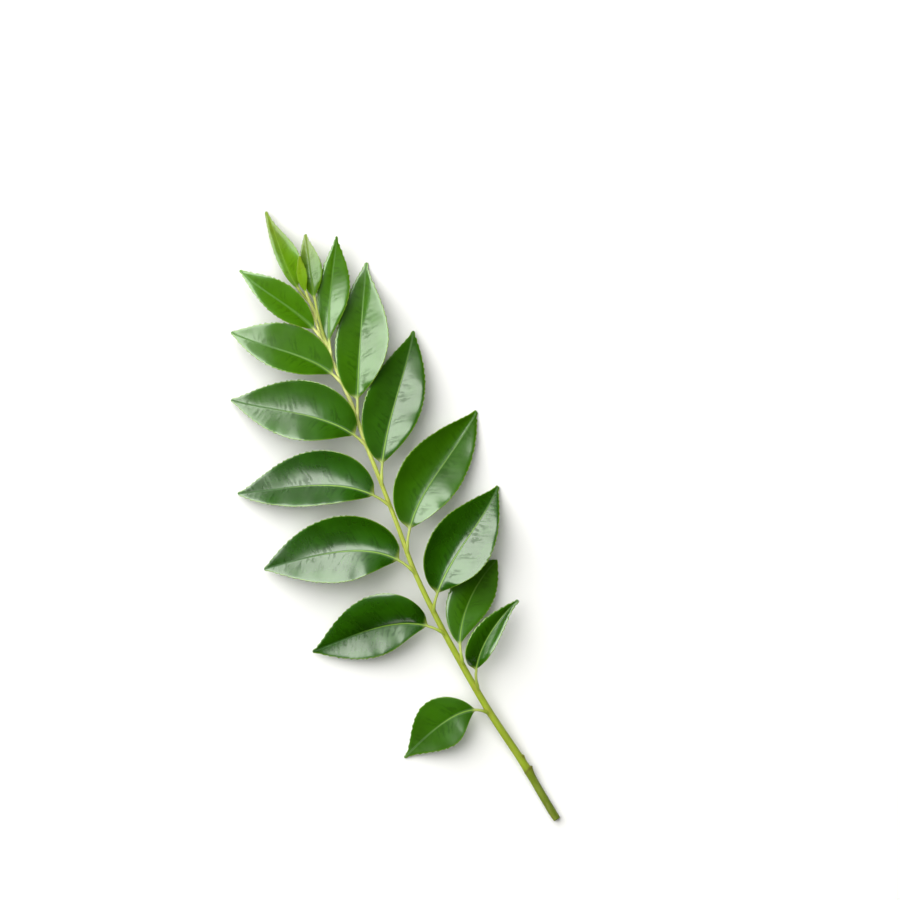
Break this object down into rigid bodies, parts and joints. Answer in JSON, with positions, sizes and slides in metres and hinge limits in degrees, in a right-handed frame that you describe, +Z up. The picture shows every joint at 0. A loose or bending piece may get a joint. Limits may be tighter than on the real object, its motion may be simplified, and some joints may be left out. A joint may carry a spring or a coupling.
{
  "type": "curry leaf sprig",
  "caption": "Fresh curry leaf sprig lying flat: a green stalk cut at one end, with glossy folded leaflets on both sides and young ones at its tip.",
  "frame": {"origin": "middle of the sprig's footprint, on the surface it lies on", "axes": "+Y along the stalk from the cut end to the tip, +Z up from the table, +X to the right of the stalk seen from above"},
  "size_m": [0.078, 0.2022, 0.0144],
  "materials": {
    "leaf": "glossy deep green leaf with a paler midrib and underside",
    "young_leaf": "soft gloss yellow-green young leaf",
    "stalk": "satin yellow-green stalk, olive below the lowest leaf scar"
  },
  "bodies": {
    "root": {"stem": "stalk", "leaflet_tip": "young_leaf", "leaflet_bud": "young_leaf", "leaflet_tip_right": "young_leaf", "leaflet_left_1": "leaf", "leaflet_left_2": "leaf", "leaflet_left_3": "leaf", "leaflet_left_4": "leaf", "leaflet_left_5": "leaf", "leaflet_left_6": "leaf", "leaflet_left_7": "leaf", "leaflet_right_1": "leaf", "leaflet_right_2": "leaf", "leaflet_right_3": "leaf", "leaflet_right_4": "leaf", "leaflet_right_5": "leaf", "leaflet_right_6": "leaf", "leaflet_right_7": "leaf"}
  },
  "joints": []
}
